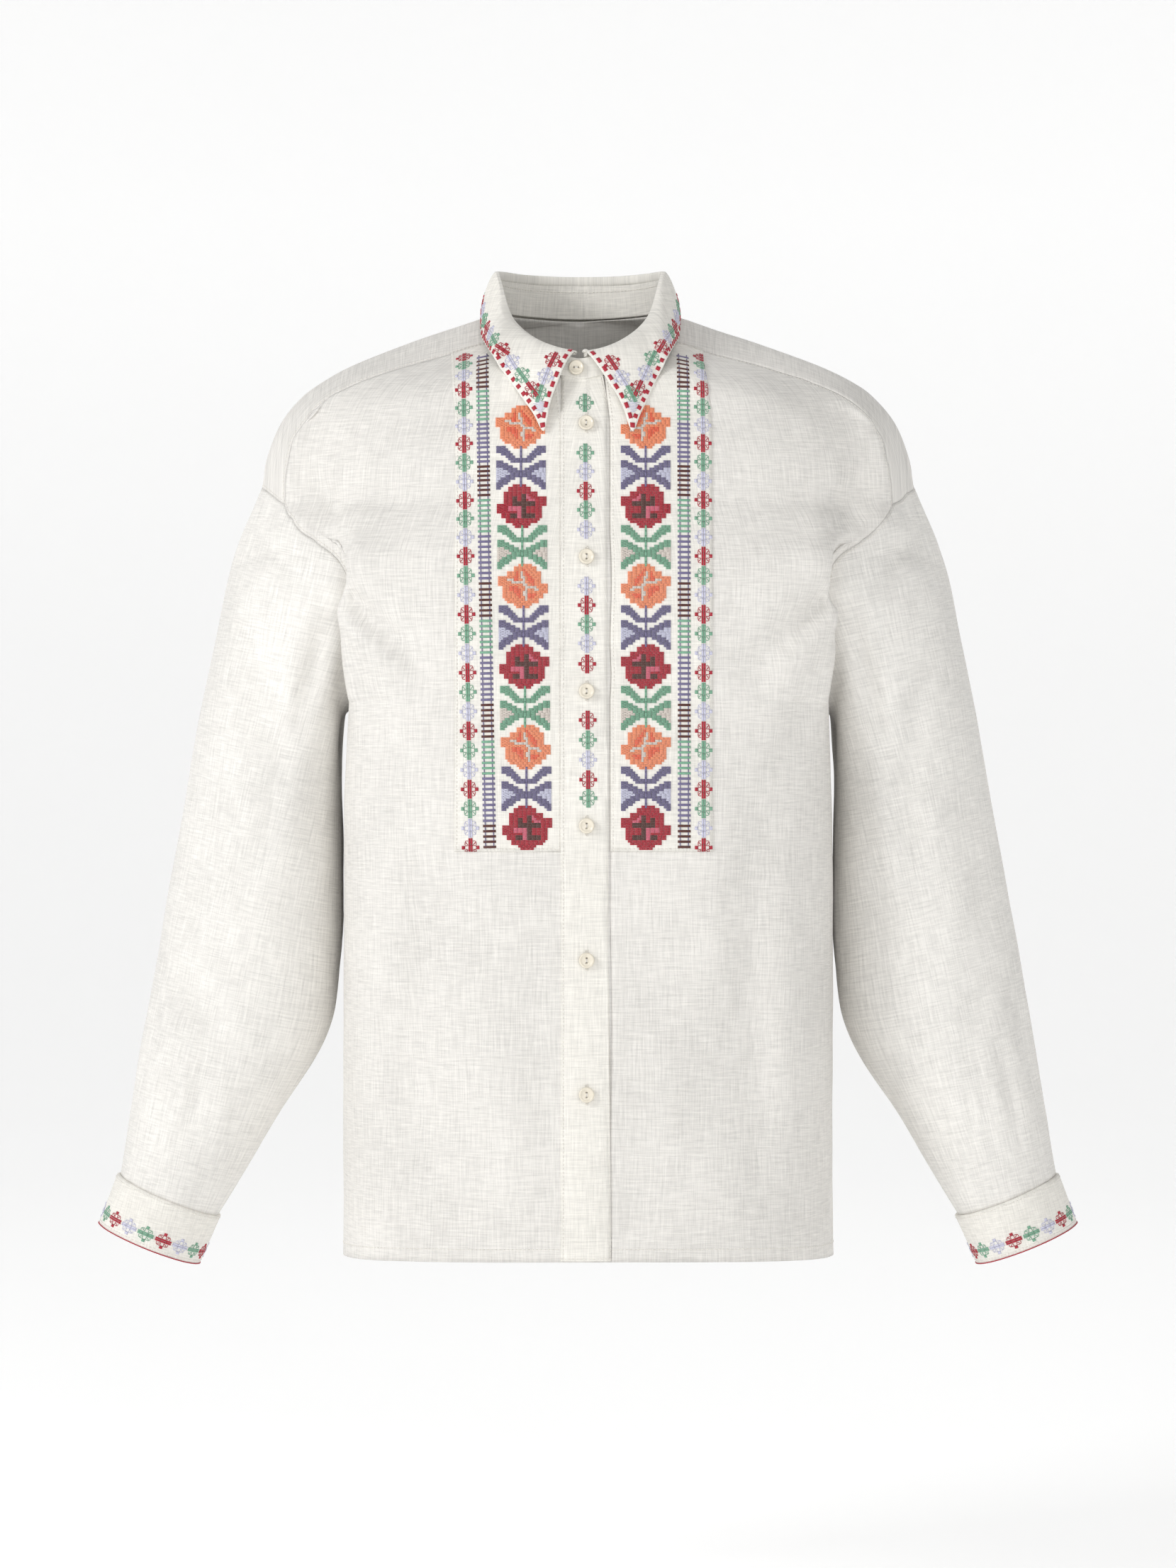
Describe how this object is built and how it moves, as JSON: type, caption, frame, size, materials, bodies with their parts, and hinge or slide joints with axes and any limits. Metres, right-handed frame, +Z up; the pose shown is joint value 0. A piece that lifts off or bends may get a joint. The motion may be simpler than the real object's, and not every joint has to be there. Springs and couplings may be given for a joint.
{
  "type": "vyshyvanka shirt",
  "caption": "Long-sleeved linen shirt with a folded collar, buttoned placket and embroidered front panels, hollow and filled out as when worn.",
  "frame": {"origin": "inside the neck, on the body's middle plane, at the height where the wearer's shoulders carry the yoke", "axes": "+Z up, -Y towards the front, +X towards the wearer's left"},
  "size_m": [0.772, 0.258, 0.7862],
  "materials": {
    "linen": "matte",
    "double_linen": "matte",
    "button": "satin"
  },
  "bodies": {
    "root": {"front_right": "linen", "front_left": "linen", "back": "linen", "yoke": "linen", "sleeve_right": "linen", "sleeve_left": "linen", "cuff_right": "double_linen", "cuff_left": "double_linen", "collar_stand": "double_linen", "collar_fall": "double_linen", "placket": "double_linen", "bib_right": "double_linen", "bib_left": "double_linen", "button_1": "button", "button_2": "button", "button_3": "button", "button_4": "button", "button_5": "button", "button_6": "button", "button_7": "button"}
  },
  "joints": []
}
